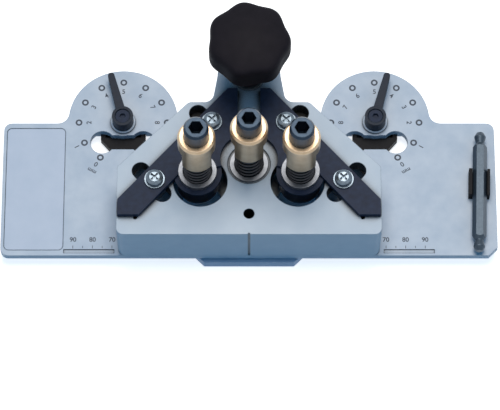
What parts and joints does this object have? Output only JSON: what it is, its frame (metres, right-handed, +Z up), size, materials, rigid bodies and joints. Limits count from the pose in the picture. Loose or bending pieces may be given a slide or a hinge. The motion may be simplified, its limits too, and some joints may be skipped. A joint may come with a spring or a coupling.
{
  "type": "hinge drilling jig",
  "caption": "Drilling jig for concealed hinges: base plate with dial edge stops, sprung drill spindles on shifting arms and a star-knob screw clamp.",
  "frame": {"origin": "on the cup spindle's axis in the plane of the base plate's underside, which lies on the door", "axes": "+X along the door's edge to the drive bit's side, +Y back to the edge stops and the clamp knob, +Z up along the spindles"},
  "size_m": [0.254, 0.1105, 0.096],
  "materials": {
    "anodised_plate": "anodised, satin",
    "cast_head": "anodised, satin",
    "label_sheet": "satin",
    "blackened_steel": "black oxide, satin",
    "zinc_steel": "zinc plated",
    "bush_steel": "ground",
    "sleeve_brass": "turned",
    "tool_steel": "blued",
    "spring_steel": "drawn wire",
    "cutter_steel": "ground",
    "lever_paint": "satin",
    "black_plastic": "moulded",
    "knob_plastic": "moulded",
    "jaw_aluminium": "anodised, satin",
    "bit_steel": "phosphated"
  },
  "bodies": {
    "base": {"base_plate": "anodised_plate", "head_skirt": "cast_head", "drill_head": "cast_head", "head_screws": "zinc_steel", "label_plate": "label_sheet", "bit_clip": "black_plastic", "cup_bush": "bush_steel", "knob_washer": "zinc_steel"},
    "cup_feed": {"cup_sleeve": "sleeve_brass", "cup_spring": "spring_steel"},
    "cup_spindle_body": {"cup_spindle": "tool_steel", "cup_retaining_ring": "spring_steel", "cup_cutter": "cutter_steel", "cup_set_screw": "blackened_steel"},
    "knob": {"clamp_knob": "knob_plastic", "knob_insert": "zinc_steel"},
    "jaw": {"clamp_jaw": "jaw_aluminium", "clamp_stud": "zinc_steel", "jaw_guide_pins": "zinc_steel"},
    "bit": {"drive_bit": "bit_steel"},
    "left_carrier": {"left_arm": "blackened_steel", "left_arm_washers": "zinc_steel", "left_arm_screws": "zinc_steel", "left_arm_nuts": "zinc_steel", "left_bush": "bush_steel"},
    "left_feed": {"left_sleeve": "sleeve_brass", "left_spring": "spring_steel"},
    "left_spindle_body": {"left_spindle": "tool_steel", "left_retaining_ring": "spring_steel", "left_drill": "cutter_steel", "left_set_screw": "blackened_steel"},
    "left_dial": {"left_lever": "lever_paint", "left_lever_screw": "blackened_steel", "left_stop_cam": "zinc_steel", "left_cam_washer": "zinc_steel", "left_cam_screw": "zinc_steel"},
    "left_stop": {"left_stop_slider": "black_plastic"},
    "right_carrier": {"right_arm": "blackened_steel", "right_arm_washers": "zinc_steel", "right_arm_screws": "zinc_steel", "right_arm_nuts": "zinc_steel", "right_bush": "bush_steel"},
    "right_feed": {"right_sleeve": "sleeve_brass", "right_spring": "spring_steel"},
    "right_spindle_body": {"right_spindle": "tool_steel", "right_retaining_ring": "spring_steel", "right_drill": "cutter_steel", "right_set_screw": "blackened_steel"},
    "right_dial": {"right_lever": "lever_paint", "right_lever_screw": "blackened_steel", "right_stop_cam": "zinc_steel", "right_cam_washer": "zinc_steel", "right_cam_screw": "zinc_steel"},
    "right_stop": {"right_stop_slider": "black_plastic"}
  },
  "joints": [
    {"name": "cup_feed", "type": "slide", "parent": "base", "child": "cup_feed", "axis": [0, 0, -1], "range_m": [0, 0.0215], "stiffness_N_per_m": 600, "springref_m": -0.02, "deforming": ["cup_spring"]},
    {"name": "cup_spin", "type": "hinge", "parent": "cup_feed", "child": "cup_spindle_body", "pos_m": [0, 0, 0.06], "axis": [0, 0, 1], "continuous": true},
    {"name": "left_arm_shift", "type": "slide", "parent": "base", "child": "left_carrier", "axis": [0.6585, -0.7526, 0], "range_m": [0, 0.0053]},
    {"name": "left_feed", "type": "slide", "parent": "left_carrier", "child": "left_feed", "axis": [0, 0, -1], "range_m": [0, 0.0185], "stiffness_N_per_m": 600, "springref_m": -0.02, "deforming": ["left_spring"]},
    {"name": "left_spin", "type": "hinge", "parent": "left_feed", "child": "left_spindle_body", "pos_m": [-0.026, -0.0055, 0.06], "axis": [0, 0, 1], "continuous": true},
    {"name": "left_stop_turn", "type": "hinge", "parent": "base", "child": "left_dial", "pos_m": [-0.0654, 0.036, 0], "axis": [0, 0, 1], "range_deg": [-105, 135]},
    {"name": "left_stop_slide", "type": "slide", "parent": "base", "child": "left_stop", "axis": [0, 1, 0], "range_m": [-0.00226, 0.00176]},
    {"name": "right_arm_shift", "type": "slide", "parent": "base", "child": "right_carrier", "axis": [-0.6585, -0.7526, 0], "range_m": [0, 0.0053]},
    {"name": "right_feed", "type": "slide", "parent": "right_carrier", "child": "right_feed", "axis": [0, 0, -1], "range_m": [0, 0.0185], "stiffness_N_per_m": 600, "springref_m": -0.02, "deforming": ["right_spring"]},
    {"name": "right_spin", "type": "hinge", "parent": "right_feed", "child": "right_spindle_body", "pos_m": [0.026, -0.0055, 0.06], "axis": [0, 0, 1], "continuous": true},
    {"name": "right_stop_turn", "type": "hinge", "parent": "base", "child": "right_dial", "pos_m": [0.0654, 0.036, 0], "axis": [0, 0, 1], "range_deg": [-135, 105]},
    {"name": "right_stop_slide", "type": "slide", "parent": "base", "child": "right_stop", "axis": [0, 1, 0], "range_m": [-0.00226, 0.00176]},
    {"name": "jaw_slide", "type": "slide", "parent": "base", "child": "jaw", "axis": [0, 0, -1], "range_m": [0, 0.025]},
    {"name": "knob_turn", "type": "hinge", "parent": "base", "child": "knob", "pos_m": [0, 0.049, 0.07], "axis": [0, 0, 1], "range_deg": [0, 4502]},
    {"name": "bit_lift", "type": "slide", "parent": "base", "child": "bit", "axis": [0, 0, 1], "range_m": [0, 0.05]}
  ],
  "couplings": [
    {"joint": "left_stop_slide", "follows": "left_stop_turn", "m_per_rad": -0.00095493},
    {"joint": "right_stop_slide", "follows": "right_stop_turn", "m_per_rad": 0.00095493},
    {"joint": "knob_turn", "follows": "jaw_slide", "rad_per_m": 3141.6}
  ]
}
